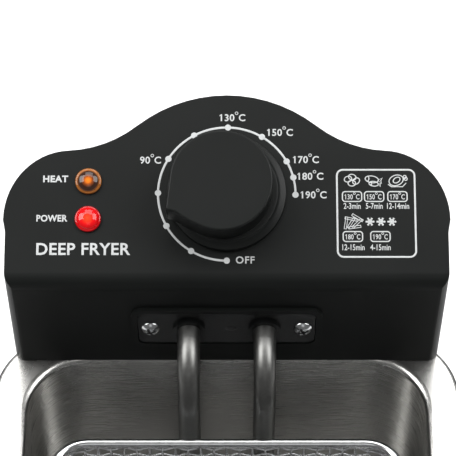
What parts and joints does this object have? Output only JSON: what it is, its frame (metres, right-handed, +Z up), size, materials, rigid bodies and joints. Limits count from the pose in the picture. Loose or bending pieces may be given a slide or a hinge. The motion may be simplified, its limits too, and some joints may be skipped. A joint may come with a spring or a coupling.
{
  "type": "deep fryer",
  "caption": "Countertop deep fryer with a lift-out oil tank, a wire basket with a folding handle, and a lift-off control head with thermostat knob, pilot lamps and immersed heating element.",
  "frame": {"origin": "centre of the whole fryer in plan, on the surface it stands on", "axes": "+Z up, +Y to the back where the control head is, -Y to the front where the basket handle is, +X to the right as the user faces it"},
  "size_m": [0.238, 0.3914, 0.2461],
  "materials": {
    "black_abs": "fine texture",
    "panel_black": "satin",
    "knob_black": "satin",
    "black_rubber": "matt",
    "stainless_brushed": "brushed",
    "stainless_wire": "bright plated",
    "zinc_steel": "zinc plated",
    "screw_steel": "bright",
    "element_steel": "drawn tube",
    "black_enamel": "gloss",
    "terminal_brass": "plain",
    "copper": "drawn copper",
    "phenolic": "moulded",
    "switch_black": "moulded",
    "amber_lens": "clear tint",
    "red_lens": "clear tint",
    "red_cap": "gloss",
    "silicone_wire": "matt"
  },
  "bodies": {
    "casing": {"base_tray": "black_abs", "rubber_feet": "black_rubber", "base_screws": "zinc_steel", "outer_casing": "stainless_brushed", "casing_collar": "black_abs", "left_handle": "black_abs", "right_handle": "black_abs", "handle_screws": "zinc_steel", "head_guide": "zinc_steel", "guide_rivets": "zinc_steel"},
    "tank": {"oil_tank": "stainless_brushed"},
    "head": {"head_cover": "panel_black", "head_housing": "panel_black", "housing_screws": "zinc_steel", "element_plate": "black_enamel", "plate_screws": "screw_steel", "element_collars": "black_enamel", "heating_element": "element_steel", "element_terminals": "terminal_brass", "element_guard": "zinc_steel", "thermostat_body": "phenolic", "thermostat_bracket": "zinc_steel", "bracket_screws": "zinc_steel", "capillary_tube": "copper", "thermostat_bulb": "copper", "bulb_clip": "zinc_steel", "thermal_cutout": "switch_black", "safety_switch": "switch_black", "terminal_block": "phenolic", "internal_wiring": "silicone_wire", "heat_lamp_lens": "amber_lens", "power_lamp_lens": "red_lens", "lamp_bodies": "phenolic", "cord_gland": "black_abs", "gland_nut": "black_abs"},
    "temperature_knob": {"knob": "knob_black", "knob_clip": "zinc_steel", "thermostat_shaft": "zinc_steel"},
    "reset": {"reset_button": "red_cap"},
    "interlock": {"interlock_pin": "phenolic"},
    "basket": {"basket_mesh": "stainless_wire", "basket_floor": "stainless_wire", "basket_rim_wire": "stainless_wire", "basket_bracket": "stainless_wire", "bracket_rivets": "zinc_steel"},
    "basket_handle": {"handle_wires": "stainless_wire", "handle_grip": "black_abs", "grip_screw": "zinc_steel"}
  },
  "joints": [
    {"name": "tank_lift", "type": "slide", "parent": "casing", "child": "tank", "axis": [0, 0, 1], "range_m": [0, 0.13]},
    {"name": "head_lift", "type": "slide", "parent": "tank", "child": "head", "axis": [0, 0, 1], "range_m": [0, 0.15]},
    {"name": "basket_lift", "type": "slide", "parent": "head", "child": "basket", "axis": [0, 0, 1], "range_m": [0, 0.12]},
    {"name": "handle_fold", "type": "hinge", "parent": "basket", "child": "basket_handle", "pos_m": [0, -0.05575, 0.1642], "axis": [-1, 0, 0], "range_deg": [0, 175]},
    {"name": "knob_turn", "type": "hinge", "parent": "head", "child": "temperature_knob", "pos_m": [0, 0.15317, 0.22079], "axis": [0, -0.3746, 0.9272], "range_deg": [-210, 60]},
    {"name": "reset_press", "type": "slide", "parent": "head", "child": "reset", "axis": [0, -1, 0], "range_m": [0, 0.003], "stiffness_N_per_m": 200},
    {"name": "interlock_release", "type": "slide", "parent": "head", "child": "interlock", "axis": [0, -1, 0], "range_m": [0, 0.002]}
  ],
  "couplings": [
    {"joint": "interlock_release", "follows": "head_lift", "ratio": 0.0133}
  ]
}
